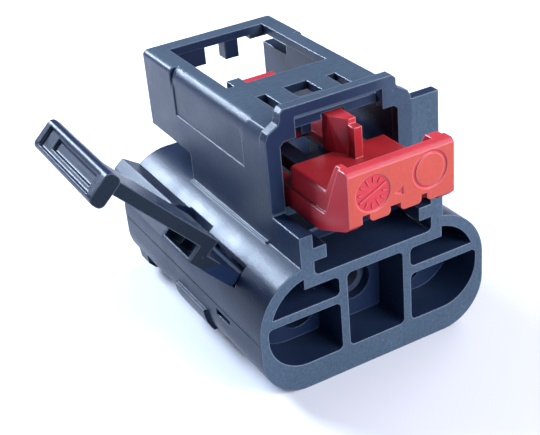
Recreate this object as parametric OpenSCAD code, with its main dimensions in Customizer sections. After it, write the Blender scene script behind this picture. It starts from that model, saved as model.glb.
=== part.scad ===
// Sealed three-way automotive power connector, female half, without wires.
// X runs across the connector, +Y from the wire side to the mating end, +Z up.
// The origin lies on the flat underside, below the middle of the sleeve.
// Inside the modules, y is counted from the wire face of the sleeve.

/* [Sleeve] */
// Width of the sleeve
body_w = 38; // [31.5:0.5:46]
// Height of the sleeve
body_h = 20; // [19.5:0.25:24]
// Length of the sleeve from the wire face to the mating end
body_l = 46; // [44:0.5:56]
// Wall of the sleeve
wall = 1.7; // [1.4:0.05:2.1]
// Radius of the two upper corners of the sleeve
top_r = 9; // [7.5:0.25:9.4]
// Radius of the two lower corners of the sleeve
base_r = 7.2; // [6:0.2:8.8]

/* [Wire side] */
// Depth of the windows in the wire face
window_depth = 6.4; // [5:0.2:7.8]
// Width of the middle wire window
mid_w = 9.4; // [8.4:0.1:10.4]
// Thickness of the ribs between the windows
rib = 1.3; // [0.9:0.1:1.6]
// Thickness of the solid foot below the windows
foot_h = 4.15; // [3.4:0.05:5]
// Height of the ribs that split the side windows, at their lower face
shelf_z = 12.1; // [11.4:0.1:13]
// Distance from one wire hole to the next
pitch = 9.6; // [9.2:0.1:10.4]
// Radius of the wire holes
wire_r = 3; // [2.4:0.1:3.6]

/* [Clip rails] */
// Height of the rail posts above the underside
post_top = 24.6; // [24:0.2:27]
// Thickness of the rail posts and of the latch box walls
post_t = 2.05; // [1.7:0.05:2.5]
// Reach of the inward tabs of the rails
tab_reach = 2.05; // [1.6:0.05:2.5]
// Thickness of the inward tabs
tab_t = 2.05; // [1.7:0.05:2.5]
// Height of the open channel under the tabs
channel_h = 2.25; // [1.9:0.05:2.8]

/* [Latch box] */
// Width of the latch box
box_w = 23.6; // [22:0.2:28]
// Height of the top plate above the underside
box_top = 37.2; // [36.4:0.2:44]
// Thickness of the top plate
plate_t = 1.4; // [1.1:0.1:1.7]
// Set-back of the latch box from the wire face
box_front = 7.2; // [6.4:0.2:8]
// Overhang of the latch box past the mating end of the sleeve
box_over = 0.4; // [0:0.1:2]
// Depth of the arch at the front of the box
arch_t = 1.7; // [1.3:0.1:2.2]
// Rise of the arch above the top plate
arch_rise = 2.8; // [2:0.1:4]
// Length of the free hood at the mating end
hood_l = 13.5; // [10:0.5:16]
// Width of the window in the top plate
roof_gap_w = 16.8; // [14:0.2:18]

/* [Position slider] */
// Width of the slider
cpa_w = 16.6; // [15.6:0.2:17.6]
// Height of the slider's push plate
cpa_h = 6.6; // [5.6:0.2:7.4]
// Thickness of the push plate at its top
cpa_t = 3.3; // [2.6:0.1:4]
// Distance from the push plate's face to the arch, before locking
cpa_out = 14.4; // [13:0.2:17]
// Travel of the slider into its locked position
cpa_travel = 5; // [4:0.25:5.5]
// Height of the fin above the slider's deck
fin_h = 5.4; // [4:0.1:5.5]

/* [Side lever] */
// Thickness of the lever's root
root_t = 2.1; // [1.8:0.1:2.4]
// Thickness of the lever's strap
strap_t = 1.9; // [1.5:0.1:2.3]
// Width of the strap along the connector
strap_w = 9; // [7.5:0.5:10.5]
// Length of the strap
strap_l = 17.6; // [14:0.2:21]
// Length of the finger bar at the end of the strap
bar_l = 20; // [16:0.5:22]
// Angle of the open lever above the horizontal
open_angle = 47; // [44:1:60]
// Radius of the lever's pivot stubs
pivot_r = 0.55; // [0.45:0.05:0.6]

/* [Terminal core] */
// Gap for the mating shroud between the sleeve and the core
shroud_gap = 2.5; // [2.2:0.1:2.8]
// Wall of the socket that takes the terminal carrier
socket_wall = 1.1; // [0.9:0.1:1.3]
// Width of one terminal cavity
cavity_w = 7.2; // [6.4:0.1:7.3]
// Height of one terminal cavity
cavity_h = 5.4; // [4.8:0.1:5.6]
// Width of the blade slots in the mating face
blade_w = 6.6; // [5.8:0.1:6.8]
// Height of the blade slots in the mating face
blade_h = 1.5; // [1:0.1:2]

/* [Seals] */
// Radius of the bores that hold the wire seals
seal_bore_r = 4; // [3.7:0.1:4.2]
// Length of each wire seal
seal_l = 7.2; // [6:0.2:8]
// Length of the ring seal
ring_l = 5.4; // [4.4:0.2:6.4]

/* [Fits] */
// Clearance of the moving parts
slide_gap = 0.3; // [0.2:0.05:0.4]
// Clearance between fixed pieces that plug together
plug_gap = 0.1; // [0.05:0.01:0.15]
// Radial clearance of the pivot stubs in their holes
pivot_gap = 0.06; // [0.03:0.01:0.09]

/* [Hidden] */
$fn = 72;
eps = 0.05;
black = "#20252e";
red = "#c4252d";
seal_colour = "#b5532c";
carrier_colour = "#3b4048";

// Sleeve and wire side
half_w = body_w / 2;
arc_x = half_w - top_r;
arc_z = body_h - top_r;
base_x = half_w - base_r;
edge_t = rib;
side_in = mid_w / 2 + rib;
side_out = half_w - edge_t;
end_wall = 1.8;
block_end = window_depth + end_wall;
ledge_drop = 1.9;
ledge_z = body_h - ledge_drop;
window_top = ledge_z - wall + 0.05;
window_r = 0.8;
hole_z = (foot_h + window_top) / 2 - 0.3;
side_hole_drop = 1.1;
side_hole_z = hole_z - side_hole_drop;
parting_z = 9.8;
parting_h = 0.12;

// Clip rails
post_out = box_w / 2;
post_in = post_out - post_t;
tab_z = ledge_z + channel_h;
rail_over = 5;
rail_end = box_front + rail_over;

// Latch box
box_back = body_l + box_over;
wall_in = post_in + 0.05;
roof_z = box_top - plate_t;
hood_y = body_l - hood_l;
hood_z = post_top - 0.1;
arch_top = box_top + arch_rise;
guide_z = post_top - 0.3;
guide_t = 1.4;
guide_lap = 1.3;
box_round = 4.4;
rear_round = 0.9;
rear_start = hood_y + 4.2;
slit_x = 5.1;
slit_w = 1.5;
slit_y = box_front + 6.6;
slit_l = 5;
peep_half = 1.95;
peep_y = box_front + 7.6;
peep_l = 4.4;
roof_gap_y = box_front + 16.8;
rear_rail = 2.6;
stop_l = 2.4;
wall_slot_l = 7.8;
cheek_l = 7;
relief = 0.15;
relief_low = guide_z + 5.3;
foot_ledge = 0.45;

// Slider, with y counted from the wire face
arm_z = guide_z + slide_gap;
deck_h = 6.4;
deck_z = arm_z + deck_h;
deck_t = 1.4;
cpa_face = box_front - cpa_out;
gusset_l = 6.2;
gusset_y = cpa_face + gusset_l;
skirt_low = arm_z + 1.7;
plate_web = 1.7;
mark_depth = 0.2;
plate_rise = 5;
cpa_top = deck_z + plate_rise;
foot_drop = 1.15;
bridge_y = box_front + 10;
bridge_l = 2.5;
arm_end = bridge_y + 5;
arm_h = 3.1;
arm_top = arm_z + arm_h;
head_y = box_front + 23.5;
cpa_low = cpa_top - cpa_h;
cpa_half = cpa_w / 2;
deck_half = cpa_half - 0.4;
arm_t = 2;
latch_top = deck_z - deck_t - 0.6;
latch_t = 2;
latch_half = cpa_half - arm_t - 1.3;
fin_half = 1.5;
fin_l = 5.7;
fin_y = cpa_face + 11.3;
blade_drop = 0.8;

// Terminal core
core_in = wall + shroud_gap;
socket_in = core_in + socket_wall;
socket_l = 15.8;
core_end = block_end + socket_l;
seal_start = block_end - 0.2;
carrier_start = seal_start + seal_l + 0.3;
tower_step = 0.8;
tower_in = core_in + tower_step;
nose_start = core_end + ring_l + 0.2;
nose_back = 4.2;
nose_end = body_l - nose_back;
nose_wall = 1.7;

// Lever: u runs along the strap and n across it, both from the pivot
bay_lip = 0.1;
lever_y = block_end + bay_lip + slide_gap;
pivot_in = 2.4;
pivot_up = 4.6;
pivot_x = pivot_in - half_w;
pivot_z = arc_z + pivot_up;
drum_wall = 0.5;
drum_r = pivot_r + drum_wall;
root_top = 0.4;
root_l = 9.5;
step_t = 2;
core_out = 3.2;
offset_h = 2.9;
bar_t = 2.4;
bar_h = 4.8;
bay_right = pivot_x + root_top + slide_gap;
bay_end = lever_y + strap_w + slide_gap;
bearing_t = 1.4;
slot_rib = 2;
slot_l = 7.4;
slot_h = 6.1;
slot_y = bay_end + slot_rib;
slot_end = slot_y + slot_l;
slot_low = arc_z + 1.8;
slot_high = slot_low + slot_h;

// Extrudes a flat shape drawn in x and z along y.
module along_y(y0, y1) {
    translate([0, y1, 0]) rotate([90, 0, 0]) linear_extrude(y1 - y0) children();
}

// Extrudes a flat shape drawn in y and z along x.
module along_x(x0, x1) {
    translate([x0, 0, 0]) rotate([90, 0, 90]) linear_extrude(x1 - x0) children();
}

module box(x0, x1, y0, y1, z0, z1) {
    translate([x0, y0, z0]) cube([x1 - x0, y1 - y0, z1 - z0]);
}

// Moves a node from wire-face coordinates to the origin under the sleeve.
module place() {
    translate([0, -body_l / 2, 0]) children();
}

module rect(x0, x1, z0, z1) {
    translate([x0, z0]) square([x1 - x0, z1 - z0]);
}

// A rectangle with round corners, made of true arcs.
module soft_rect(x0, x1, z0, z1, r) {
    rect(x0 + r, x1 - r, z0, z1);
    rect(x0, x1, z0 + r, z1 - r);
    for (x = [x0 + r, x1 - r], z = [z0 + r, z1 - r]) translate([x, z]) circle(r);
}

// The sharp part outside a round corner at (x, z); sx and sz point out of the corner.
module corner(x, z, sx, sz, r) {
    translate([x - sx * r, z - sz * r]) difference() {
        scale([sx, sz]) square(r + 0.01);
        circle(r);
    }
}

// The sleeve's cross-section, drawn in by d on every side.
module sleeve_outline(d) {
    for (s = [-1, 1]) {
        translate([s * arc_x, arc_z]) circle(top_r - d);
        translate([s * base_x, base_r]) circle(base_r - d);
    }
    polygon([[-arc_x, body_h - d], [-half_w + d, arc_z], [-half_w + d, base_r], [-base_x, d],
        [base_x, d], [half_w - d, base_r], [half_w - d, arc_z], [arc_x, body_h - d]]);
}

// The lower side window, on the right.
module side_window() {
    corner_r = base_r - edge_t + 0.2;
    cz = foot_h + corner_r;
    cx = side_out - corner_r;
    difference() {
        union() {
            intersection() {
                translate([cx, cz]) circle(corner_r);
                rect(side_in, side_out, foot_h, shelf_z);
            }
            rect(side_in, cx, foot_h, shelf_z);
            rect(side_in, side_out, cz, shelf_z);
        }
        corner(side_in, foot_h, -1, -1, window_r);
        corner(side_in, shelf_z, -1, 1, window_r);
        corner(side_out, shelf_z, 1, 1, window_r);
    }
}

// The upper side window, which steps up beside the rail post.
module upper_window() {
    low = shelf_z + rib;
    step_x = post_out - 0.25;
    difference() {
        union() {
            rect(side_in, step_x + eps, low, window_top);
            intersection() {
                translate([arc_x, arc_z]) circle(top_r - wall);
                rect(step_x, half_w, low, body_h);
            }
        }
        corner(side_in, low, -1, -1, window_r);
        corner(side_in, window_top, -1, 1, window_r);
    }
}

module wire_windows() {
    along_y(-eps, window_depth) {
        soft_rect(-mid_w / 2, mid_w / 2, foot_h, window_top, window_r);
        for (s = [0, 1]) mirror([s, 0]) {
            side_window();
            upper_window();
        }
    }
}

function hole_x(i) = i * pitch;
function hole_height(i) = i == 0 ? hole_z : side_hole_z;

module wire_bores() {
    for (i = [-1, 0, 1]) translate([hole_x(i), 0, hole_height(i)]) {
        translate([0, window_depth - eps, 0]) rotate([-90, 0, 0])
            cylinder(r = wire_r, h = block_end - window_depth);
        translate([0, seal_start, 0]) rotate([-90, 0, 0])
            cylinder(r = seal_bore_r, h = carrier_start - seal_start + eps);
    }
}

// The T rails on top of the wire end, for the mounting clip.
module clip_rails() {
    for (s = [0, 1]) mirror([s, 0, 0]) {
        box(post_in, post_out, 0, box_front + arch_t, ledge_z - 1, post_top);
        box(post_in - tab_reach, post_in + eps, 0, rail_end, tab_z, tab_z + tab_t);
    }
}

// The channel between the rails, let into the roof of the sleeve.
module clip_channel() {
    along_y(-eps, block_end - 0.2) difference() {
        rect(-post_in, post_in, ledge_z, tab_z);
        for (s = [-1, 1]) corner(s * post_in, ledge_z, s, -1, window_r);
    }
}

// The outline of the latch box from behind, with a broad round on its upper edges.
module box_outline(round_r, inset) {
    cx = box_w / 2 - round_r;
    cz = box_top - round_r + inset;
    difference() {
        rect(-box_w / 2, box_w / 2, arc_z + 4, box_top);
        for (s = [0, 1]) mirror([s, 0]) difference() {
            rect(cx, box_w / 2 + 1, cz, box_top + 1);
            translate([cx, cz]) circle(round_r);
        }
    }
}

// The arch that frames the slider at the front of the box.
module arch_outline() {
    hw = box_w / 2;
    polygon([[-hw, hood_z], [-hw, box_top - 1.2], [-hw + 0.5, box_top - 0.2], [-hw + 2.1, box_top + 0.7],
        [-hw + 2.45, box_top + 1.3], [-hw + 2.45, arch_top - 0.6], [-hw + 3.05, arch_top],
        [hw - 3.05, arch_top], [hw - 2.45, arch_top - 0.6], [hw - 2.45, box_top + 1.3],
        [hw - 2.1, box_top + 0.7], [hw - 0.5, box_top - 0.2], [hw, box_top - 1.2], [hw, hood_z]]);
}

module arch_opening() {
    hw = box_w / 2 - 2.25;
    neck = box_w / 2 - 4.75;
    rect(-hw, hw, hood_z - 1, box_top - 2.4);
    rect(-neck, neck, box_top - 2.5, arch_top - 1.6);
    for (s = [0, 1]) mirror([s, 0])
        polygon([[neck - eps, box_top - 1.9], [hw - 0.6, box_top - 1.9], [hw, box_top - 2.5],
            [neck - eps, box_top - 2.5]]);
}

module latch_box() {
    shell_start = box_front + arch_t;
    difference() {
        union() {
            along_y(shell_start - eps, rear_start - 0.6) box_outline(box_round, 1.6);
            along_y(rear_start - 0.7, rear_start + eps) box_outline(box_round, 1.0);
            along_y(rear_start, box_back) box_outline(rear_round, 0);
            along_y(box_front, shell_start) arch_outline();
        }
        // Inside of the box, down to the sleeve
        box(-wall_in, wall_in, shell_start - 0.2, box_back + eps, body_h - 0.6, roof_z);
        along_y(box_front - eps, shell_start + eps) arch_opening();
        // The hood stands free of the sleeve at the mating end
        box(-half_w, half_w, hood_y, box_back + eps, arc_z, hood_z);
        // Groove for the slider's fin
        box(-fin_half - 0.4, fin_half + 0.4, shell_start - eps, fin_y + fin_l + cpa_travel + 0.4,
            roof_z - eps, deck_z + fin_h + slide_gap);
        // Openings of the top plate
        for (s = [0, 1]) mirror([s, 0, 0])
            box(slit_x, slit_x + slit_w, slit_y, slit_y + slit_l, roof_z - 1, box_top + 1);
        box(-peep_half, peep_half, peep_y, peep_y + peep_l, roof_z - 1, box_top + 1);
        difference() {
            box(-roof_gap_w / 2, roof_gap_w / 2, roof_gap_y, box_back - rear_rail, roof_z - 1, box_top + 1);
            box(-7.3, -5.2, roof_gap_y - 0.8, roof_gap_y + 2.4, roof_z - 2, box_top + 2);
        }
        // Relief of the left wall behind its thicker front part
        box(-box_w / 2 - 1, relief - box_w / 2, box_front + cheek_l, rear_start - 0.6, relief_low,
            box_top + 1);
        // Slot through the right wall under the top plate
        box(wall_in - 1, box_w / 2 + 1, box_back - wall_slot_l, box_back + eps, roof_z - 2.8, roof_z - 1);
    }
    // Ledges where the walls stand on the sleeve
    for (s = [0, 1]) mirror([s, 0, 0])
        box(box_w / 2 - eps, box_w / 2 + foot_ledge, shell_start, hood_y, body_h - 1, body_h);
    // Parts that hang from the top plate: the rear stops and the fin's guide
    box(-wall_in - eps, -2.1, box_back - stop_l, box_back, roof_z - 2.9, roof_z + eps);
    box(1.5, 3.9, box_back - stop_l, box_back, roof_z - 3.1, roof_z + eps);
    box(6.2, wall_in + eps, box_back - stop_l, box_back, roof_z - 0.8, roof_z + eps);
    for (s = [0, 1]) mirror([s, 0, 0])
        box(fin_half + 0.5, fin_half + 2.1, box_front + 4.5, box_front + 9, roof_z - 2.8, roof_z + eps);
    // Guides that carry the slider's arms
    for (s = [0, 1]) mirror([s, 0, 0])
        box(cpa_w / 2 - guide_lap, wall_in + eps, shell_start, hood_y + 2, guide_z - guide_t, guide_z);
}

// The latch arm inside the box, moulded on two legs.
module latch_arm() {
    y0 = box_front + 2.2;
    y1 = box_back - 8;
    leg_y = hood_y - 13.5;
    leg_w = 1.8;
    low = latch_top - latch_t;
    difference() {
        box(-latch_half, latch_half, y0, y1, low, latch_top);
        box(-3, 3, y1 - 8, y1 - 3, latch_top - 3, latch_top + 1);
        box(-2.4, 2.4, y0 + 4, y0 + 15, latch_top - 3, latch_top + 1);
    }
    // Catch under the free end
    along_x(-latch_half + 1, latch_half - 1)
        polygon([[y1 - 3.4, low + eps], [y1, low + eps], [y1, low - 0.4], [y1 - 1.2, low - 1.4],
            [y1 - 2.6, low - 1.4]]);
    for (s = [0, 1]) mirror([s, 0, 0])
        box(latch_half - leg_w, latch_half, leg_y, leg_y + 2.5, body_h - 0.5, low + eps);
}

// Plate beside the box on the right, flush with the arch.
module side_wing() {
    box(box_w / 2 - 0.4, half_w - 2.4, box_front, box_front + arch_t, arc_z + 2, box_top - 1.7);
}

// Raised key channel on the upper left of the mating end.
module key_channel() {
    along_y(slot_end, body_l) polygon([[-half_w, slot_low], [-half_w - 0.7, slot_high],
        [-half_w + 0.9, slot_high + 1.3], [-half_w + 3.6, slot_high - 0.5], [-half_w + 3.6, slot_low]]);
}

module key_channel_inside() {
    along_y(slot_end + 1.4, body_l + eps) polygon([[-half_w + 1.5, slot_low + 0.8],
        [-half_w + 0.8, slot_high - 0.7], [-half_w + 1.4, slot_high - 0.2], [-half_w + 3, arc_z + 6.4],
        [-half_w + 3, slot_low + 0.8]]);
}

// Small coding rib low on the left of the mating end.
module coding_rib() {
    along_y(body_l - 5.6, body_l - 2.4) polygon([[-half_w + 0.2, 7.2], [-half_w + 0.7, 2.8],
        [-half_w + 1.7, 1.7], [-half_w + 3.4, 1.2], [-half_w + 5, 3], [-half_w + 3, 7.2]]);
}

// Low pad on the left flank, and the parting lines of the mould.
module flank_details() {
    intersection() {
        along_y(lever_y + 8.4, lever_y + 18.4) sleeve_outline(-0.6);
        box(-half_w - 1, -base_x, lever_y, lever_y + 20, 2.8, 6.8);
    }
    for (s = [0, 1]) mirror([s, 0, 0])
        box(half_w - 0.2, half_w + 0.06, 0.5, body_l - 0.5, parting_z - parting_h, parting_z);
}

// The space inside the sleeve that takes the mating shroud.
module shroud_space() {
    difference() {
        along_y(block_end, body_l + eps) sleeve_outline(wall);
        along_y(block_end - eps, core_end) sleeve_outline(core_in);
    }
}

// Bay for the lever's root, and the open slot behind it.
module lever_bay() {
    box(-half_w - 1, bay_right, lever_y - slide_gap, bay_end, pivot_z, slot_high);
    pivot_axis(lever_y - slide_gap, bay_end, drum_r + 0.5);
    box(-half_w - 1, bay_right, bay_end - eps, slot_y + eps, pivot_z + 1.3, slot_high);
    box(-half_w - 1, pivot_x + 1.5, slot_y, slot_end, slot_low, slot_high);
    // Shallow mould pocket low on the flank
    box(-half_w - 1, -half_w + 0.8, lever_y + 0.7, lever_y + 4.9, parting_z - 1.8, parting_z - 0.8);
}

module pivot_axis(y0, y1, r) {
    translate([pivot_x, y0, pivot_z]) rotate([-90, 0, 0]) cylinder(r = r, h = y1 - y0);
}

module connector_housing() color(black) place() difference() {
    union() {
        difference() {
            union() {
                along_y(0, body_l) sleeve_outline(0);
                key_channel();
                coding_rib();
                flank_details();
                clip_rails();
                latch_box();
                side_wing();
            }
            shroud_space();
            key_channel_inside();
            lever_bay();
        }
        latch_arm();
    }
    wire_windows();
    wire_bores();
    along_y(carrier_start, core_end + eps) sleeve_outline(socket_in);
    clip_channel();
    pivot_axis(lever_y - slide_gap - bearing_t, bay_end + bearing_t, pivot_r + pivot_gap);
}

// Outline of the slider's deck block, with round upper corners.
module deck_outline() {
    difference() {
        rect(-deck_half, deck_half, skirt_low, deck_z);
        for (s = [-1, 1]) corner(s * deck_half, deck_z, s, 1, 0.6);
    }
}

// Side view of one arm, from the edge of the push plate to the arm's end.
module arm_profile() {
    back = cpa_face + cpa_t;
    polygon([[cpa_face, cpa_low - foot_drop], [cpa_face, cpa_top - 0.5], [cpa_face + 0.5, cpa_top],
        [back - 1.2, cpa_top], [back - 0.8, cpa_top - 0.8], [gusset_y - 0.5, arm_top + 0.4],
        [gusset_y, arm_top], [arm_end, arm_top], [arm_end, arm_z], [cpa_face + 7.6, arm_z],
        [cpa_face + 6.4, arm_z + 0.5], [cpa_face + 1, cpa_low - 2.1]]);
}

// Push plate, its end gussets, the deck behind it and the arms that run on the box's guides.
module slider_front() {
    back = cpa_face + cpa_t;
    difference() {
        union() {
            along_x(-cpa_half, cpa_half) polygon([[cpa_face, cpa_low], [cpa_face, cpa_top - 0.5],
                [cpa_face + 0.5, cpa_top], [cpa_face + plate_web, cpa_top], [cpa_face + plate_web, cpa_low]]);
            along_x(-deck_half, deck_half) polygon([[cpa_face + 1, deck_z - deck_t], [cpa_face + 1, cpa_top],
                [back - 0.2, cpa_top], [back + 0.2, cpa_top - 0.5], [gusset_y, deck_z - 0.3],
                [gusset_y, deck_z - deck_t]]);
            // Feet along the plate's lower edge
            for (f = [[-cpa_half, -6.5], [-5.1, -1.95], [-0.3, 2.95], [3.9, cpa_half]])
                along_y(cpa_face, cpa_face + 2.4)
                    soft_rect(f[0], f[1], cpa_low - foot_drop, cpa_low + foot_drop, 0.6);
            for (s = [0, 1]) mirror([s, 0, 0]) along_x(cpa_half - arm_t, cpa_half) arm_profile();
        }
        box(-cpa_half + 1.2, cpa_half - 2.3, cpa_face + plate_web, gusset_y + 1, deck_z, cpa_top + 1);
        // Places of the mould marks: a dial, a ring and a pointer
        mark(-4.5, cpa_top - 3.8) cylinder(r = 2.65, h = mark_depth + eps);
        mark(4.45, cpa_top - 3.3) difference() {
            cylinder(r = 2.75, h = mark_depth + eps);
            translate([0, 0, -eps]) cylinder(r = 2.3, h = 1);
        }
        mark(-0.45, cpa_top - 4.9) linear_extrude(mark_depth + eps)
            polygon([[-0.75, 0], [0.6, -0.65], [0.6, 0.65]]);
    }
}

module mark(x, z) {
    translate([x, cpa_face + mark_depth, z]) rotate([90, 0, 0]) children();
}

// Fin that stops the slider from locking while the latch arm is up: a blade and a wider block.
module fin() {
    y1 = fin_y + fin_l;
    y2 = fin_y + 1.5;
    box(0.2, fin_half, fin_y, y1, deck_z - eps, deck_z + fin_h - blade_drop);
    hull() {
        translate([0, 0, deck_z - eps]) linear_extrude(eps) polygon([[-fin_half, y1], [fin_half, y1],
            [fin_half, y2], [-0.1, y2], [-0.85, y2 + 1.6], [-fin_half, y1 - 0.6]]);
        translate([0, 0, deck_z + fin_h - eps]) linear_extrude(eps) polygon([[0.2 - fin_half, y1],
            [fin_half, y1], [fin_half, y2], [0.4, y2], [0.2 - fin_half, y2 + 2.8]]);
    }
}

// The slider that locks the latch arm once the connector is mated.
module cpa_slider() color(red) place() {
    slider_front();
    // Deck block: front wall, then an open shell
    along_y(gusset_y - 0.5, gusset_y + 0.9) deck_outline();
    along_y(gusset_y + 0.8, box_front + 0.8) difference() {
        deck_outline();
        rect(-deck_half + deck_t, deck_half - deck_t, 0, deck_z - deck_t);
    }
    for (s = [0, 1]) mirror([s, 0, 0])
        box(cpa_half - arm_t, cpa_half - 0.7, bridge_y, bridge_y + bridge_l, arm_z + 2, deck_z - eps);
    // Cross bridge, tongue and locking head
    box(-cpa_half + 1, cpa_half - 1, bridge_y, bridge_y + bridge_l, deck_z - deck_t, deck_z);
    box(0.2, 4.2, box_front, head_y + 2.5, deck_z - deck_t, deck_z);
    box(-1.2, 4.6, head_y, head_y + 3.5, deck_z - deck_t, deck_z + 2);
    box(-2.6, -1.1, head_y + 0.8, head_y + 2.5, deck_z - deck_t, deck_z + 1);
    fin();
}

// The side lever, drawn open in the plane of the wire face.
module lever_frame() {
    translate([pivot_x, pivot_z]) rotate(180 - open_angle) mirror([0, 1]) children();
}

module lever_profile() lever_frame() {
    polygon([[0, root_top], [0, root_top - 0.8], [0.5, root_top - 1.2], [1.1, root_top - root_t],
        [root_l, root_top - root_t], [root_l, root_top]]);
    rect(root_l - step_t, root_l, root_top - root_t, offset_h);
    rect(root_l - step_t, root_l + strap_l, offset_h - strap_t, offset_h);
}

// Finger bar: u0 and u1 count from its middle, n0 and n1 from its lower edge.
module bar_block(y0, y1, u0, u1, n0, n1, r) {
    bar_u = root_l + strap_l;
    low = offset_h - bar_h + 0.5;
    along_y(y0, y1) lever_frame() soft_rect(bar_u + u0, bar_u + u1, low + n0, low + n1, r);
}

module lock_lever() color(black) place() {
    bar_y = lever_y - 0.5;
    bar_end = lever_y + bar_l;
    difference() {
        along_y(lever_y, lever_y + strap_w) lever_profile();
        // Core-out in the end of the root, under the strap
        along_y(lever_y + 0.7, lever_y + strap_w - 0.7) lever_frame()
            rect(root_l - core_out, root_l + 1, root_top - root_t + 0.5, offset_h - strap_t);
    }
    difference() {
        bar_block(bar_y, bar_end, -bar_t / 2, bar_t / 2, 0, bar_h, 0.9);
        // Stepped recess in the outer face
        bar_block(bar_y + 1.3, bar_end - 1.2, bar_t / 2 - 0.45, bar_t, 0.8, bar_h - 0.9, 0.3);
        bar_block(bar_y + 2.6, bar_end - 4.5, bar_t / 2 - 0.85, bar_t, 1.6, bar_h - 1.5, 0.3);
    }
    // Pivot drum and stubs
    pivot_axis(lever_y, lever_y + strap_w, drum_r);
    pivot_axis(lever_y - slide_gap - bearing_t + 0.1, bay_end + bearing_t - 0.1, pivot_r);
}

// Rectangle of one terminal cavity.
module cavity(i, w, h) {
    translate([hole_x(i) * 0.95 - w / 2, hole_height(i) - h / 2]) square([w, h]);
}

module terminal_carrier() color(carrier_colour) place() difference() {
    union() {
        along_y(carrier_start, core_end + eps) sleeve_outline(socket_in + plug_gap);
        along_y(core_end, nose_end - nose_wall - 0.1) sleeve_outline(tower_in);
    }
    for (i = [-1, 0, 1]) {
        translate([hole_x(i), carrier_start - eps, hole_height(i)]) rotate([-90, 0, 0])
            cylinder(r = wire_r, h = 2.5);
        along_y(carrier_start + 2, nose_end) cavity(i, cavity_w, cavity_h);
    }
}

module front_retainer() color(black) place() difference() {
    along_y(nose_start, nose_end) sleeve_outline(core_in);
    along_y(nose_start - eps, nose_end - nose_wall) sleeve_outline(tower_in - plug_gap);
    for (i = [-1, 0, 1]) along_y(nose_end - nose_wall - 1, nose_end + eps) cavity(i, blade_w, blade_h);
}

// Ring seal around the terminal carrier, with three lips.
module ring_seal() color(seal_colour) place() difference() {
    lip = ring_l / 6;
    union() {
        along_y(core_end + 0.05, core_end + ring_l) sleeve_outline(core_in - 0.3);
        for (k = [0, 1, 2]) along_y(core_end + 0.4 + k * 2 * lip, core_end + 0.4 + (2 * k + 0.8) * lip)
            sleeve_outline(core_in - 0.9);
    }
    along_y(core_end, core_end + ring_l + eps) sleeve_outline(tower_in - 0.05);
}

// A wire seal with three outer lips, turned about its bore.
module wire_seal(i) color(seal_colour) place()
    translate([hole_x(i), seal_start, hole_height(i)]) rotate([-90, 0, 0]) rotate_extrude() {
        inner = wire_r * 0.66;
        outer = seal_bore_r - 0.05;
        lip = seal_l / 7;
        translate([inner, 0]) square([outer - 0.4 - inner, seal_l]);
        for (k = [0, 1, 2]) translate([inner, (0.5 + 2.3 * k) * lip]) square([outer - inner, lip]);
    }

module wire_seal_left() wire_seal(-1);
module wire_seal_centre() wire_seal(0);
module wire_seal_right() wire_seal(1);

connector_housing();
cpa_slider();
lock_lever();
terminal_carrier();
front_retainer();
ring_seal();
wire_seal_left();
wire_seal_centre();
wire_seal_right();
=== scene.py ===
"""Finish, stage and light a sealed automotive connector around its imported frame."""

import math

import bmesh
import bpy
from bpy.props import (
    FloatProperty,
    FloatVectorProperty,
    PointerProperty,
    StringProperty,
)
from mathutils import Matrix, Vector


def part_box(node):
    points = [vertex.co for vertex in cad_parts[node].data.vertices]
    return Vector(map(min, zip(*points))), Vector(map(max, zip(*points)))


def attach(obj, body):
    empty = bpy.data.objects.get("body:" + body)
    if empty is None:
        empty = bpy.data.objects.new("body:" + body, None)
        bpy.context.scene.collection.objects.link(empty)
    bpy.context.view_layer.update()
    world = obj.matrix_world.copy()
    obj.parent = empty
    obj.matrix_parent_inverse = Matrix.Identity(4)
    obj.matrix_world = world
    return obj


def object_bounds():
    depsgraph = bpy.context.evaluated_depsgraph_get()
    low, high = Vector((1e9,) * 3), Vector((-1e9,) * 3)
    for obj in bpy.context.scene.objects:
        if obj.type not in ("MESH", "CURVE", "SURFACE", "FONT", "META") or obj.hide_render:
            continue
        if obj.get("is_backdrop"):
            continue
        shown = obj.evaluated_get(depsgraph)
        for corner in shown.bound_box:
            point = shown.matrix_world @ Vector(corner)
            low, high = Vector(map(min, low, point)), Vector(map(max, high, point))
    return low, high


bl_info = {
    "name": "Sealed connector finish",
    "blender": (4, 5, 0),
    "version": (1, 0, 0),
    "location": "View3D > Sidebar > Connector",
    "description": "Gives a sealed automotive connector its moulded finishes, marks and studio",
    "category": "Object",
}

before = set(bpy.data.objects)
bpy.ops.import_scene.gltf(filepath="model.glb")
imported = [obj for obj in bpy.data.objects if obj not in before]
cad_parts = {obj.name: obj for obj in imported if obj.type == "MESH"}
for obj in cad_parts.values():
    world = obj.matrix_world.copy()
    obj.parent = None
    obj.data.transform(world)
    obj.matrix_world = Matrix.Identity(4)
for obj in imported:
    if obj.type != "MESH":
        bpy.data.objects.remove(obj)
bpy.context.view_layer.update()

MM = 0.001
HOUSING = "connector_housing"
SLIDER = "cpa_slider"
LEVER = "lock_lever"

# A limit that lies past every face of the connector
NOWHERE = 1.0

# Corners of a rectangle, in turn
CORNERS = ((-1, -1), (1, -1), (1, 1), (-1, 1))

# Space around the latch box's upper left edge, and how far out its rounding starts to fade
SHOULDER_MIDDLE = (-12.3 * MM, 1.4 * MM, 38 * MM)
SHOULDER_HALF = (2.8 * MM, 11.6 * MM, 4.2 * MM)
SHOULDER_FADE = 0.94

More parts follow.
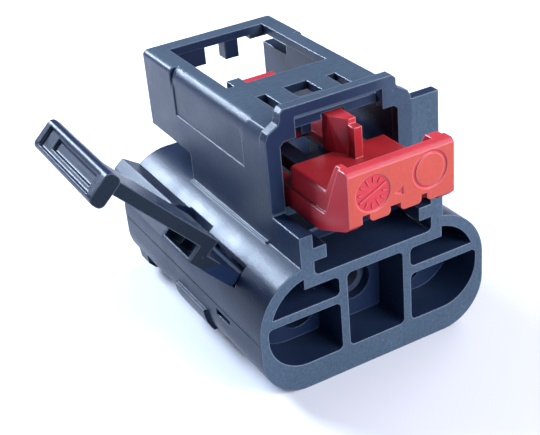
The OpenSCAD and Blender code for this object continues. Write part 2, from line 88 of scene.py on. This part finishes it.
# Where the tool's spark-eroded faces end, how matt the arch's leg and the top are, and how
# squarely a face must look to the wires or upwards: from not at all to wholly
SLEEVE_TOP = 19.5 * MM
WINDOW_BACK = -20 * MM
ARCH_FOOT = 25 * MM
ARCH_MIDDLE = 5 * MM
ARCH_LEG = 8.5 * MM
ARCH_RIGHT = 11.9 * MM
LEG_SHARE = 0.6
TOP_PLATE = 36 * MM
TOP_SHARE = 0.7
PLATE_SKIN = 0.02 * MM
TO_WIRES = (-0.75, -0.95)
UPWARDS = (0.8, 0.98)

# Widths and heights of the surface patterns. Real flow marks and skin are this wide. Motes
# lie in cells, of which those above MOTE_CUT hold one, with a radius as a share of the cell
FLOW_WIDTH = 6 * MM
SKIN_WIDTH = 0.45 * MM
GRAIN_HEIGHT = 0.12 * MM
MOTE_SPACING = 1.3 * MM
MOTE_CUT = 0.62
MOTE_RADIUS = 0.085
MOTE_SHARE = 0.3
BLOOM_WIDTH = 2 * MM
BLOOM_HEIGHT = 0.03 * MM

# An edge gets its polish and painted highlight between these cosines of its turn from the face
EDGE_TURN = (0.99, 0.87)
EDGE_ROUGHNESS = 0.25
# How far flow marks take the skin's roughness down and up
FLOW_RANGE = (0.3, 0.7)
SMOOTHER = 0.05
ROUGHER = 0.06
# Height of the polished skin, as a share of the grain's
SKIN_SHARE = 0.3
PBT_IOR = 1.55
SILICONE_IOR = 1.41
ACRYLIC_IOR = 1.49

# Dial recess of the slider, and the ribs in it: length, width and height
DIAL_X = -4.5 * MM
DIAL_RISE = 7.6 * MM
DIAL_DEPTH = 0.2 * MM
DIAL_RADIUS = 2.25 * MM
DIAL_TURN = 25
TICKS = 12
SHORT_TICK = (0.8 * MM, 0.26 * MM, 0.17 * MM)
LONG_TICK = (1.1 * MM, 0.26 * MM, 0.17 * MM)
HAND = (4.6 * MM, 0.36 * MM, 0.18 * MM)
RIB_SINK = 0.01 * MM
# Share of the height, and inset of the sides as a share of the width
RIB_PROFILE = ((0, 0), (0.7, 0.12), (1, 0.3))

# Floor: half its side, where its glow starts and is full, and the gap under the connector
FLOOR_HALF = 2.5
GLOW_START = 0.15
GLOW_FULL = 0.7
GLOW_STRENGTH = 0.85
GLOW_COLOUR = "#f6f9ff"
FLOOR_GAP = 0.02 * MM

SKY_COLOUR = "#b4c2e6"
SKY_STRENGTH = 0.4
LIGHT_AIM = (0, 0, 0.015)
# Name, place and size in metres, power in watts, sRGB colour
SOFTBOXES = (
    ("softbox_front", (0.20, -0.38, 0.30), (0.35, 0.25), 4.9, "#ffffff"),
    ("softbox_rear", (-0.14, 0.30, 0.24), (0.18, 0.12), 5.3, "#e2f0ff"),
    ("softbox_right", (0.36, 0.10, 0.28), (0.25, 0.25), 1.4, "#ffffff"),
    ("softbox_low", (0.02, -0.45, 0.09), (0.20, 0.10), 1.8, "#cfe0ff"),
)


# ---------------------------------------------------------------- properties


class FinishProperties(bpy.types.PropertyGroup):
    """Colours and surface sizes of the moulded pieces"""

    black: StringProperty(
        name="Black", description="sRGB colour of the black PBT", default="#141f34"
    )
    black_face: StringProperty(
        name="Black, sparked", description="sRGB colour of the matt wire face", default="#34414f"
    )
    lever_face: StringProperty(
        name="Lever, sparked",
        description="sRGB colour of the lever's matt side",
        default="#121922",
    )
    red: StringProperty(
        name="Red", description="sRGB colour of the red PBT", default="#97222a"
    )
    red_face: StringProperty(
        name="Red, sparked", description="sRGB colour of the matt push plate", default="#933426"
    )
    grey: StringProperty(
        name="Grey", description="sRGB colour of the inner mouldings", default="#2a303b"
    )
    seal: StringProperty(
        name="Seal", description="sRGB colour of the ring seal", default="#232a3a"
    )
    wire_seal: StringProperty(
        name="Wire seal", description="sRGB colour of the wire seals", default="#182234"
    )
    glint: StringProperty(
        name="Glint", description="sRGB tint of the reflections", default="#deecff"
    )
    dust: StringProperty(
        name="Dust", description="sRGB colour of the dust", default="#9aa6b8"
    )
    # Pale edge colours, mixed into the rounded edges as a painted highlight
    polished_highlit_edge: StringProperty(
        name="Rubbed edge", description="sRGB colour of a rubbed black edge", default="#9aa6b8"
    )
    polished_highlit_edge_red: StringProperty(
        name="Rubbed red edge", description="sRGB colour of a rubbed red edge", default="#e08078"
    )
    edge: FloatProperty(
        name="Edge radius",
        description="Radius that the moulding tool leaves on an outer edge",
        default=0.32 * MM,
        subtype="DISTANCE",
        unit="LENGTH",
    )
    shoulder: FloatProperty(
        name="Shoulder radius",
        description="Radius along the upper left edge of the latch box",
        default=1.7 * MM,
        subtype="DISTANCE",
        unit="LENGTH",
    )
    # Real spark grain, about 0.05 mm wide, is too fine to show, so it is drawn coarser
    spark_grain: FloatProperty(
        name="Spark grain",
        description="Width of the grain drawn on the spark-eroded faces",
        default=0.24 * MM,
        subtype="DISTANCE",
        unit="LENGTH",
    )


class StageProperties(bpy.types.PropertyGroup):
    """Floor, light and camera"""

    floor: StringProperty(
        name="Floor", description="sRGB colour of the floor", default="#bcbdc5"
    )
    target: FloatVectorProperty(
        name="Target",
        description="Point that the camera looks at",
        default=(-6.757 * MM, -5.394 * MM, 18.028 * MM),
        subtype="TRANSLATION",
        unit="LENGTH",
    )
    azimuth: FloatProperty(
        name="Azimuth",
        description="Direction of the view, to the right of the connector's long axis",
        default=math.radians(27.128),
        subtype="ANGLE",
        unit="ROTATION",
    )
    elevation: FloatProperty(
        name="Elevation",
        description="Height of the camera above the target",
        default=math.radians(29.854),
        subtype="ANGLE",
        unit="ROTATION",
    )
    roll: FloatProperty(
        name="Roll",
        description="Turn of the camera about its line of sight",
        default=math.radians(-5.406),
        subtype="ANGLE",
        unit="ROTATION",
    )
    distance: FloatProperty(
        name="Distance",
        description="Distance from the camera to the target",
        default=171.4 * MM,
        subtype="DISTANCE",
        unit="LENGTH",
    )
    lens: FloatProperty(
        name="Lens",
        description="Focal length on a 36 mm wide sensor",
        default=76.826,
        subtype="DISTANCE_CAMERA",
    )


# ------------------------------------------------------------------- helpers


def finish_settings():
    return bpy.context.scene.connector_finish


def stage_settings():
    return bpy.context.scene.connector_stage


def linear(hex_colour):
    """An sRGB hex value as a linear colour with alpha."""
    parts = [int(hex_colour[i : i + 2], 16) / 255 for i in (1, 3, 5)]
    return [c / 12.92 if c <= 0.04045 else ((c + 0.055) / 1.055) ** 2.4 for c in parts] + [1.0]


def add_node(tree, kind, settings=None, **inputs):
    """Add a node, set its properties, and set or link its inputs by name or by _number."""
    node = tree.nodes.new(kind)
    for name, value in (settings or {}).items():
        setattr(node, name, value)
    for name, value in inputs.items():
        key = int(name[1:]) if name[0] == "_" else name.replace("_", " ")
        socket = node.inputs[key]
        if isinstance(value, bpy.types.NodeSocket):
            tree.links.new(value, socket)
        else:
            socket.default_value = value
    return node


def new_material(name):
    material = bpy.data.materials.new(name)
    material.use_nodes = True
    material.node_tree.nodes.clear()
    return material, material.node_tree


def close_material(tree, shader):
    output = tree.nodes.new("ShaderNodeOutputMaterial")
    tree.links.new(shader.outputs[0], output.inputs["Surface"])


def ramp(tree, value, stops):
    """A colour ramp through (position, grey or colour) stops."""
    node = add_node(tree, "ShaderNodeValToRGB", Fac=value)
    points = node.color_ramp.elements
    while len(points) < len(stops):
        points.new(0.5)
    for point, (position, colour) in zip(points, stops):
        point.position = position
        point.color = colour if isinstance(colour, list) else [colour] * 3 + [1.0]
    return node.outputs["Color"]


def rounding(tree, place):
    """The tool's rounding: slight on outer edges, broad on the box's upper left edge."""
    settings = finish_settings()
    offset = add_node(
        tree, "ShaderNodeVectorMath", {"operation": "SUBTRACT"}, _0=place, _1=SHOULDER_MIDDLE
    ).outputs["Vector"]
    distance = add_node(
        tree, "ShaderNodeVectorMath", {"operation": "ABSOLUTE"}, _0=offset
    ).outputs["Vector"]
    share = add_node(
        tree, "ShaderNodeVectorMath", {"operation": "DIVIDE"}, _0=distance, _1=SHOULDER_HALF
    ).outputs["Vector"]
    reach = add_node(tree, "ShaderNodeSeparateXYZ", Vector=share)
    furthest = reach.outputs["X"]
    for axis in ("Y", "Z"):
        furthest = add_node(
            tree, "ShaderNodeMath", {"operation": "MAXIMUM"}, _0=furthest, _1=reach.outputs[axis]
        ).outputs[0]
    radius = add_node(
        tree, "ShaderNodeMapRange", Value=furthest, From_Min=SHOULDER_FADE, From_Max=1.0,
        To_Min=settings.shoulder, To_Max=settings.edge,
    ).outputs["Result"]
    bevel = add_node(tree, "ShaderNodeBevel", {"samples": 8}, Radius=radius)
    return bevel.outputs["Normal"]


def open_faces(tree, spot):
    """1 above the sleeve and on the wire face, 0 deep in the wire windows."""
    outside = add_node(
        tree, "ShaderNodeMath", {"operation": "GREATER_THAN"},
        _0=spot.outputs["Z"], _1=SLEEVE_TOP,
    ).outputs[0]
    in_front = add_node(
        tree, "ShaderNodeMath", {"operation": "LESS_THAN"},
        _0=spot.outputs["Y"], _1=WINDOW_BACK,
    ).outputs[0]
    return add_node(
        tree, "ShaderNodeMath", {"operation": "MAXIMUM"}, _0=outside, _1=in_front
    ).outputs[0]


def eroded_faces(tree, place, spot, open_face, arch_foot, top_plate, insert):
    """0 on polished walls and up to 1 on the faces that the tool's eroded parts mould."""
    # The arch is polished, and grows matt towards its right leg and the side plate
    below_arch = add_node(
        tree, "ShaderNodeMath", {"operation": "LESS_THAN"}, _0=spot.outputs["Z"], _1=arch_foot
    ).outputs[0]
    leg = add_node(
        tree, "ShaderNodeMapRange", {"interpolation_type": "SMOOTHSTEP"},
        Value=spot.outputs["X"], From_Min=ARCH_MIDDLE, From_Max=ARCH_LEG, To_Max=LEG_SHARE,
    ).outputs["Result"]
    side_plate = add_node(
        tree, "ShaderNodeMath", {"operation": "GREATER_THAN"},
        _0=spot.outputs["X"], _1=ARCH_RIGHT,
    ).outputs[0]
    off_arch = below_arch
    for share in (leg, side_plate):
        off_arch = add_node(
            tree, "ShaderNodeMath", {"operation": "MAXIMUM"}, _0=off_arch, _1=share
        ).outputs[0]
    off_insert = add_node(
        tree, "ShaderNodeMath", {"operation": "LESS_THAN"}, _0=spot.outputs["Y"], _1=insert
    ).outputs[0]
    sparked = open_face
    for share in (off_arch, off_insert):
        sparked = add_node(
            tree, "ShaderNodeMath", {"operation": "MULTIPLY"}, _0=sparked, _1=share
        ).outputs[0]
    # Of those, the faces that look to the wire side, and the level ones on the top plate
    axes = add_node(tree, "ShaderNodeSeparateXYZ", Vector=place.outputs["Normal"])
    to_wires = add_node(
        tree, "ShaderNodeMapRange", {"interpolation_type": "SMOOTHSTEP"},
        Value=axes.outputs["Y"], From_Min=TO_WIRES[0], From_Max=TO_WIRES[1], To_Max=sparked,
    ).outputs["Result"]
    level = add_node(
        tree, "ShaderNodeMapRange", {"interpolation_type": "SMOOTHSTEP"},
        Value=axes.outputs["Z"], From_Min=UPWARDS[0], From_Max=UPWARDS[1], To_Max=TOP_SHARE,
    ).outputs["Result"]
    high = add_node(
        tree, "ShaderNodeMath", {"operation": "GREATER_THAN"},
        _0=spot.outputs["Z"], _1=top_plate,
    ).outputs[0]
    top = add_node(
        tree, "ShaderNodeMath", {"operation": "MULTIPLY"}, _0=level, _1=high
    ).outputs[0]
    return add_node(
        tree, "ShaderNodeMath", {"operation": "MAXIMUM"}, _0=to_wires, _1=top
    ).outputs[0]


def polished_highlit_edges(tree, rounded, open_face):
    """1 on the rounded edges, which the polished tool leaves smoother and which get a painted
    highlight.
    """
    flat = add_node(tree, "ShaderNodeNewGeometry")
    turn = add_node(
        tree, "ShaderNodeVectorMath", {"operation": "DOT_PRODUCT"},
        _0=rounded, _1=flat.outputs["Normal"],
    ).outputs["Value"]
    return add_node(
        tree, "ShaderNodeMapRange", Value=turn,
        From_Min=EDGE_TURN[0], From_Max=EDGE_TURN[1], To_Max=open_face,
    ).outputs["Result"]


def dust_motes(tree, place):
    """A few motes of dust, about 0.15 mm across, one in every few square millimetres."""
    motes = add_node(tree, "ShaderNodeTexVoronoi", Vector=place, Scale=1 / MOTE_SPACING)
    size = add_node(
        tree, "ShaderNodeMapRange", Value=motes.outputs["Color"],
        From_Min=MOTE_CUT, From_Max=1.0, To_Max=MOTE_RADIUS,
    ).outputs["Result"]
    mote = add_node(
        tree, "ShaderNodeMath", {"operation": "LESS_THAN"},
        _0=motes.outputs["Distance"], _1=size,
    ).outputs[0]
    return add_node(
        tree, "ShaderNodeMath", {"operation": "MULTIPLY"}, _0=mote, _1=MOTE_SHARE
    ).outputs[0]


# The edge colour and its share paint a highlight onto the rounded edges
def moulded_plastic(
    name, *, colour, face_colour, edge_highlight_colour, edge_highlight_share, roughness, face_roughness,
    grain_depth, gloss, arch_foot=NOWHERE, top_plate=NOWHERE, insert=NOWHERE,
):
    """Injection-moulded PBT.

    The tool's polished walls leave a satin skin with faint flow marks. The faces that look
    to the wire side, and the level faces above top_plate, are spark-eroded in the tool, so
    they are matt and finely grained. The arch above arch_foot and the recesses behind
    insert are polished.
    """
    settings = finish_settings()
    material, tree = new_material(name)
    place = add_node(tree, "ShaderNodeTexCoord")
    here = place.outputs["Object"]
    spot = add_node(tree, "ShaderNodeSeparateXYZ", Vector=here)
    rounded = rounding(tree, here)
    open_face = open_faces(tree, spot)
    facing = eroded_faces(tree, place, spot, open_face, arch_foot, top_plate, insert)
    polished_highlit_edge = polished_highlit_edges(tree, rounded, open_face)
    # Grain of the eroded faces, and the much softer unevenness of the polished ones
    grain = add_node(
        tree, "ShaderNodeTexNoise", Vector=here,
        Scale=1 / settings.spark_grain / 2, Detail=3.0, Roughness=0.7,
    ).outputs["Fac"]
    flow = add_node(
        tree, "ShaderNodeTexNoise", Vector=here,
        Scale=1 / FLOW_WIDTH, Detail=4.0, Roughness=0.55, Distortion=0.4,
    ).outputs["Fac"]
    skin = add_node(
        tree, "ShaderNodeTexNoise", Vector=here,
        Scale=1 / SKIN_WIDTH, Detail=3.0, Roughness=0.65,
    ).outputs["Fac"]
    # Colour: flow marks darken the skin, grain catches light, dust is pale, edges get painted
    # highlights
    plain = add_node(
        tree, "ShaderNodeMix", {"data_type": "RGBA"},
        _0=facing, _6=linear(colour), _7=linear(face_colour),
    ).outputs[2]
    shade = ramp(tree, flow, [(FLOW_RANGE[0], 0.86), (FLOW_RANGE[1], 1.0)])
    dark = 1 - 0.28 * grain_depth
    bright = 1 + 0.65 * grain_depth
    speckle = ramp(tree, grain, [(0.36, dark), (0.5, 1.0), (0.6, 1.0), (0.72, bright)])
    mottle = add_node(
        tree, "ShaderNodeMix", {"data_type": "RGBA", "blend_type": "MULTIPLY"},
        _0=facing, _6=shade, _7=speckle,
    ).outputs[2]
    clean = add_node(
        tree, "ShaderNodeMix", {"data_type": "RGBA", "blend_type": "MULTIPLY"},
        _0=1.0, _6=plain, _7=mottle,
    ).outputs[2]
    dusty = add_node(
        tree, "ShaderNodeMix", {"data_type": "RGBA"},
        _0=dust_motes(tree, here), _6=clean, _7=linear(settings.dust),
    ).outputs[2]
    # Painted highlight: the rounded edges are mixed towards a pale colour
    painted_edge_highlight = add_node(
        tree, "ShaderNodeMath", {"operation": "MULTIPLY"}, _0=polished_highlit_edge, _1=edge_highlight_share
    ).outputs[0]
    base = add_node(
        tree, "ShaderNodeMix", {"data_type": "RGBA"},
        _0=painted_edge_highlight, _6=dusty, _7=linear(edge_highlight_colour),
    ).outputs[2]
    # Roughness: the skin varies with the flow, and the rounded edges are smoothest
    polish = add_node(
        tree, "ShaderNodeMapRange", Value=flow, From_Min=FLOW_RANGE[0], From_Max=FLOW_RANGE[1],
        To_Min=roughness - SMOOTHER, To_Max=roughness + ROUGHER,
    ).outputs["Result"]
    moulded = add_node(
        tree, "ShaderNodeMix", {"data_type": "FLOAT"}, _0=facing, _2=polish, _3=face_roughness
    ).outputs[0]
    rough = add_node(
        tree, "ShaderNodeMix", {"data_type": "FLOAT"}, _0=polished_highlit_edge, _2=moulded, _3=EDGE_ROUGHNESS
    ).outputs[0]
    relief = add_node(
        tree, "ShaderNodeMix", {"data_type": "FLOAT"}, _0=facing, _2=skin, _3=grain
    ).outputs[0]
    depth = add_node(
        tree, "ShaderNodeMapRange", Value=facing,
        To_Min=grain_depth * SKIN_SHARE, To_Max=grain_depth,
    ).outputs["Result"]
    bump = add_node(
        tree, "ShaderNodeBump", Height=relief, Distance=GRAIN_HEIGHT, Strength=depth,
        Normal=rounded,
    )
    shader = add_node(
        tree, "ShaderNodeBsdfPrincipled", Base_Color=base, Roughness=rough,
        Normal=bump.outputs["Normal"], IOR=PBT_IOR, Specular_IOR_Level=gloss,
        Specular_Tint=linear(settings.glint),
    )
    close_material(tree, shader)
    return material


def silicone(name, colour):
    """Liquid silicone rubber, moulded: soft sheen, a trace of bloom, no grain."""
    material, tree = new_material(name)
    place = add_node(tree, "ShaderNodeTexCoord")
    bloom = add_node(
        tree, "ShaderNodeTexNoise", Vector=place.outputs["Object"],
        Scale=1 / BLOOM_WIDTH, Detail=4.0,
    ).outputs["Fac"]
    base = linear(colour)
    pale = [min(1.0, c * 1.25 + 0.01) for c in base[:3]] + [1.0]
    tint = ramp(tree, bloom, [(0.35, base), (0.75, pale)])
    bump = add_node(tree, "ShaderNodeBump", Height=bloom, Distance=BLOOM_HEIGHT, Strength=0.3)
    shader = add_node(
        tree, "ShaderNodeBsdfPrincipled", Base_Color=tint, Roughness=0.48,
        Normal=bump.outputs["Normal"], IOR=SILICONE_IOR, Sheen_Weight=0.15,
    )
    close_material(tree, shader)
    return material


def finish_node(node, material):
    """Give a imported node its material; its mesh stays as packed."""
    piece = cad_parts[node]
    if not piece.material_slots:
        piece.data.materials.append(material)
    for place in piece.material_slots:
        place.material = material


# ----------------------------------------------------------------- operators


class CONNECTOR_OT_housing(bpy.types.Operator):
    """Finish the black housing, its lever and its front retainer"""

    bl_idname = "connector.housing"
    bl_label = "Black mouldings"

    def execute(self, context):
        look = finish_settings()
        black = moulded_plastic(
            "pbt_black_moulded", colour=look.black, face_colour=look.black_face,
            edge_highlight_colour=look.polished_highlit_edge, edge_highlight_share=0.2, roughness=0.36, face_roughness=0.62,
            grain_depth=0.9, gloss=0.16, arch_foot=ARCH_FOOT, top_plate=TOP_PLATE,
        )
        for node in (HOUSING, "front_retainer"):
            finish_node(node, black)
        lever = moulded_plastic(
            "pbt_black_lever", colour=look.black, face_colour=look.lever_face,
            edge_highlight_colour=look.polished_highlit_edge, edge_highlight_share=0.16, roughness=0.3, face_roughness=0.5,
            grain_depth=0.5, gloss=0.08,
        )
        finish_node(LEVER, lever)
        return {"FINISHED"}


class CONNECTOR_OT_slider(bpy.types.Operator):
    """Finish the red position slider"""

    bl_idname = "connector.slider"
    bl_label = "Red slider"

    def execute(self, context):
        look = finish_settings()
        # The recesses in the push plate come from polished inserts, so they aren't matt
        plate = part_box(SLIDER)[0][1]
        red = moulded_plastic(
            "pbt_red_moulded", colour=look.red, face_colour=look.red_face,
            edge_highlight_colour=look.polished_highlit_edge_red, edge_highlight_share=0.25, roughness=0.34,
            face_roughness=0.5, grain_depth=0.3, gloss=0.27, insert=plate + PLATE_SKIN,
        )
        finish_node(SLIDER, red)
        return {"FINISHED"}


def add_rib(mesh, centre, angle, size):
    """Add a low rib with sloping sides, standing out of the recess to the wire side."""
    length, width, height = size
    along = Vector((math.cos(angle), 0, math.sin(angle)))
    across = Vector((-math.sin(angle), 0, math.cos(angle)))
    out = Vector((0, -1, 0))
    rings = []
    for rise, slope in RIB_PROFILE:
        level = centre + out * height * rise
        half_l = length / 2 - slope * width
        half_w = width / 2 - slope * width
        rings.append([
            mesh.verts.new(level + along * half_l * u + across * half_w * v) for u, v in CORNERS
        ])
    for low, high in zip(rings, rings[1:]):
        for k in range(4):
            mesh.faces.new((low[k], low[(k + 1) % 4], high[(k + 1) % 4], high[k]))
    mesh.faces.new(rings[-1])
    mesh.faces.new(rings[0][::-1])


class CONNECTOR_OT_dial(bpy.types.Operator):
    """Mould the ticks and the hand into the dial recess of the slider"""

    bl_idname = "connector.dial"
    bl_label = "Dial marks"

    def execute(self, context):
        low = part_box(SLIDER)[0]
        centre = Vector((DIAL_X, low[1] + DIAL_DEPTH + RIB_SINK, low[2] + DIAL_RISE))
        work = bmesh.new()
        for k in range(TICKS):
            angle = math.radians(DIAL_TURN + 360 / TICKS * k)
            # The hand takes the place of two ticks, and the two square to it are longer
            if k % 6:
                tick = SHORT_TICK if k % 3 else LONG_TICK
                spoke = Vector((math.cos(angle), 0, math.sin(angle)))
                add_rib(work, centre + spoke * (DIAL_RADIUS - tick[0] / 2), angle, tick)
        add_rib(work, centre, math.radians(DIAL_TURN), HAND)
        bmesh.ops.recalc_face_normals(work, faces=work.faces)
        mesh = bpy.data.meshes.new("dial_marks")
        work.to_mesh(mesh)
        work.free()
        marks = bpy.data.objects.new("dial_marks", mesh)
        context.collection.objects.link(marks)
        mesh.materials.append(bpy.data.materials["pbt_red_moulded"])
        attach(marks, "slider")
        return {"FINISHED"}


class CONNECTOR_OT_inside(bpy.types.Operator):
    """Finish the terminal carrier and the seals"""

    bl_idname = "connector.inside"
    bl_label = "Carrier and seals"

    def execute(self, context):
        look = finish_settings()
        grey = moulded_plastic(
            "pbt_grey_moulded", colour=look.grey, face_colour=look.grey,
            edge_highlight_colour=look.polished_highlit_edge, edge_highlight_share=0.1, roughness=0.45, face_roughness=0.5,
            grain_depth=0.4, gloss=0.4,
        )
        finish_node("terminal_carrier", grey)
        finish_node("ring_seal", silicone("silicone_ring_seal", look.seal))
        rubber = silicone("silicone_wire_seal", look.wire_seal)
        for side in ("left", "centre", "right"):
            finish_node("wire_seal_" + side, rubber)
        return {"FINISHED"}


class CONNECTOR_OT_stage(bpy.types.Operator):
    """Lay the floor, hang the soft lights and place the camera"""

    bl_idname = "connector.stage"
    bl_label = "Stage"

    def execute(self, context):
        lay_floor()
        light_studio()
        place_camera()
        return {"FINISHED"}


def lay_floor():
    settings = stage_settings()
    mesh = bpy.data.meshes.new("studio_floor")
    corners = [(u * FLOOR_HALF, v * FLOOR_HALF, 0) for u, v in CORNERS]
    mesh.from_pydata(corners, [], [(0, 1, 2, 3)])
    floor = bpy.data.objects.new("studio_floor", mesh)
    bpy.context.collection.objects.link(floor)
    floor.location.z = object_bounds()[0][2] - FLOOR_GAP
    # White opal acrylic sheet: almost matt, so that it only takes a soft shadow, and lit
    # from below further out, as on a studio table, so that it stays pale to its far end
    material, tree = new_material("acrylic_white_floor")
    place = add_node(tree, "ShaderNodeTexCoord")
    reach = add_node(
        tree, "ShaderNodeVectorMath", {"operation": "LENGTH"}, _0=place.outputs["Object"]
    ).outputs["Value"]
    glow = add_node(
        tree, "ShaderNodeMapRange", {"interpolation_type": "SMOOTHSTEP"}, Value=reach,
        From_Min=GLOW_START, From_Max=GLOW_FULL, To_Max=GLOW_STRENGTH,
    ).outputs["Result"]
    shader = add_node(
        tree, "ShaderNodeBsdfPrincipled", Base_Color=linear(settings.floor), Roughness=0.7,
        IOR=ACRYLIC_IOR, Emission_Color=linear(GLOW_COLOUR), Emission_Strength=glow,
    )
    close_material(tree, shader)
    mesh.materials.append(material)
    floor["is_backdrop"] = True


def add_softbox(name, location, size, power, colour):
    light = bpy.data.lights.new(name, "AREA")
    light.shape = "RECTANGLE"
    light.size, light.size_y = size
    light.energy = power
    light.color = linear(colour)[:3]
    lamp = bpy.data.objects.new(name, light)
    bpy.context.collection.objects.link(lamp)
    lamp.location = location
    line = Vector(LIGHT_AIM) - Vector(location)
    lamp.rotation_euler = line.to_track_quat("-Z", "Y").to_euler()


def light_studio():
    world = bpy.data.worlds.new("studio_world")
    bpy.context.scene.world = world
    world.use_nodes = True
    tree = world.node_tree
    tree.nodes.clear()
    sky = add_node(
        tree, "ShaderNodeBackground", Color=linear(SKY_COLOUR), Strength=SKY_STRENGTH
    )
    output = tree.nodes.new("ShaderNodeOutputWorld")
    tree.links.new(sky.outputs[0], output.inputs["Surface"])
    for softbox in SOFTBOXES:
        add_softbox(*softbox)


def place_camera():
    settings = stage_settings()
    data = bpy.data.cameras.new("studio_camera")
    data.sensor_width = 36.0
    data.lens = settings.lens
    data.clip_start = 0.01
    camera = bpy.data.objects.new("studio_camera", data)
    bpy.context.collection.objects.link(camera)
    tilt = Matrix.Rotation(math.pi / 2 - settings.elevation, 4, "X")
    turn = Matrix.Rotation(-settings.azimuth, 4, "Z")
    roll = Matrix.Rotation(settings.roll, 4, "Z")
    facing = turn @ tilt @ roll
    location = Vector(settings.target) + facing.to_3x3() @ Vector((0, 0, settings.distance))
    camera.matrix_world = Matrix.Translation(location) @ facing
    bpy.context.scene.camera = camera
    bpy.context.scene.view_settings.view_transform = "Standard"


# --------------------------------------------------------------------- panel


class CONNECTOR_PT_panel(bpy.types.Panel):
    """Lists the steps and their settings"""

    bl_label = "Sealed connector"
    bl_idname = "CONNECTOR_PT_panel"
    bl_space_type = "VIEW_3D"
    bl_region_type = "UI"
    bl_category = "Connector"

    def draw(self, context):
        for operator in OPERATORS:
            self.layout.operator(operator.bl_idname)
        for group in (context.scene.connector_finish, context.scene.connector_stage):
            box = self.layout.box()
            for name in group.__annotations__:
                box.prop(group, name)


OPERATORS = (
    CONNECTOR_OT_housing,
    CONNECTOR_OT_slider,
    CONNECTOR_OT_dial,
    CONNECTOR_OT_inside,
    CONNECTOR_OT_stage,
)
CLASSES = (FinishProperties, StageProperties, *OPERATORS, CONNECTOR_PT_panel)


def register():
    for cls in CLASSES:
        bpy.utils.register_class(cls)
    bpy.types.Scene.connector_finish = PointerProperty(type=FinishProperties)
    bpy.types.Scene.connector_stage = PointerProperty(type=StageProperties)


def unregister():
    del bpy.types.Scene.connector_stage
    del bpy.types.Scene.connector_finish
    for cls in reversed(CLASSES):
        bpy.utils.unregister_class(cls)


def main():
    register()
    bpy.ops.connector.housing()
    bpy.ops.connector.slider()
    bpy.ops.connector.dial()
    bpy.ops.connector.inside()
    bpy.ops.connector.stage()


if __name__ == "__main__":
    main()
